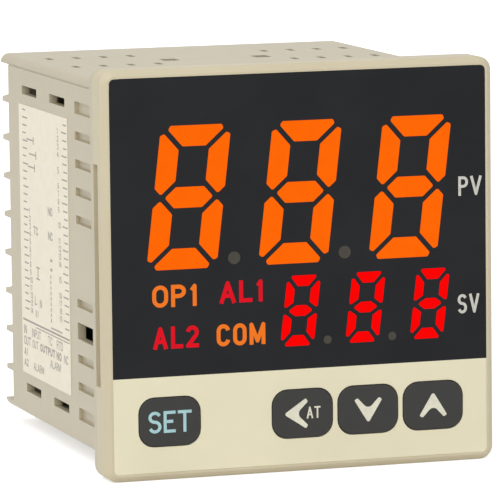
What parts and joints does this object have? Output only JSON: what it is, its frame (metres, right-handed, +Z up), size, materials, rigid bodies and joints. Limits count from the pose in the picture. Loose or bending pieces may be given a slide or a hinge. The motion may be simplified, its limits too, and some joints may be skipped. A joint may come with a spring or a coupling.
{
  "type": "panel-mount temperature controller",
  "caption": "Square panel-mount temperature controller with a two-row lit display, sprung front keys, a vented rear case and screw terminals in barrier bays.",
  "frame": {"origin": "middle of the collar's rear face, which seats on the front of the panel", "axes": "+X to the right seen from the front, +Y from the front to the rear through the panel, +Z up"},
  "size_m": [0.072, 0.0759, 0.072],
  "materials": {
    "rear_case": "beige moulded plastic",
    "front_bezel": "cream moulded plastic",
    "front_overlay": "printed front film, dark window and cream key area",
    "wiring_label": "printed paper label",
    "set_key": "dark grey key",
    "shift_key": "dark grey key",
    "down_key": "dark grey key",
    "up_key": "dark grey key",
    "set_plunger": "black plunger",
    "shift_plunger": "black plunger",
    "down_plunger": "black plunger",
    "up_plunger": "black plunger",
    "switch_bodies": "black switch bodies",
    "pv_segments": "lit orange segments",
    "sv_segments": "lit red segments",
    "decimal_points": "unlit points",
    "output_lamps": "lit orange light bars",
    "alarm_lamps": "lit red light bars",
    "display_housing": "black display body",
    "display_board": "green circuit board",
    "power_board": "green circuit board",
    "control_board": "green circuit board",
    "board_headers": "black pin headers",
    "transformer_core": "laminated steel core",
    "transformer_coil": "taped coil",
    "filter_capacitors": "sleeved capacitors",
    "bridge_rectifier": "black component body",
    "voltage_regulator": "black component body",
    "output_relay": "blue relay case",
    "alarm_relays": "blue relay cases",
    "microcontroller": "black chip body",
    "input_amplifier": "black chip body",
    "crystal": "metal can",
    "terminal_plates": "tinned plates",
    "clamp_washers": "plated square washers",
    "terminal_screws": "plated screws"
  },
  "bodies": {
    "housing": {"rear_case": "rear_case", "front_bezel": "front_bezel", "front_overlay": "front_overlay", "wiring_label": "wiring_label", "switch_bodies": "switch_bodies", "pv_segments": "pv_segments", "sv_segments": "sv_segments", "decimal_points": "decimal_points", "output_lamps": "output_lamps", "alarm_lamps": "alarm_lamps", "display_housing": "display_housing", "display_board": "display_board", "power_board": "power_board", "control_board": "control_board", "board_headers": "board_headers", "transformer_core": "transformer_core", "transformer_coil": "transformer_coil", "filter_capacitors": "filter_capacitors", "bridge_rectifier": "bridge_rectifier", "voltage_regulator": "voltage_regulator", "output_relay": "output_relay", "alarm_relays": "alarm_relays", "microcontroller": "microcontroller", "input_amplifier": "input_amplifier", "crystal": "crystal", "terminal_plates": "terminal_plates", "clamp_washers": "clamp_washers", "terminal_screws": "terminal_screws"},
    "set_button": {"set_key": "set_key", "set_plunger": "set_plunger"},
    "shift_button": {"shift_key": "shift_key", "shift_plunger": "shift_plunger"},
    "down_button": {"down_key": "down_key", "down_plunger": "down_plunger"},
    "up_button": {"up_key": "up_key", "up_plunger": "up_plunger"}
  },
  "joints": [
    {"name": "set_press", "type": "slide", "parent": "housing", "child": "set_button", "axis": [0, 1, 0], "range_m": [0, 0.0003], "stiffness_N_per_m": 300},
    {"name": "shift_press", "type": "slide", "parent": "housing", "child": "shift_button", "axis": [0, 1, 0], "range_m": [0, 0.0003], "stiffness_N_per_m": 300},
    {"name": "down_press", "type": "slide", "parent": "housing", "child": "down_button", "axis": [0, 1, 0], "range_m": [0, 0.0003], "stiffness_N_per_m": 300},
    {"name": "up_press", "type": "slide", "parent": "housing", "child": "up_button", "axis": [0, 1, 0], "range_m": [0, 0.0003], "stiffness_N_per_m": 300}
  ]
}
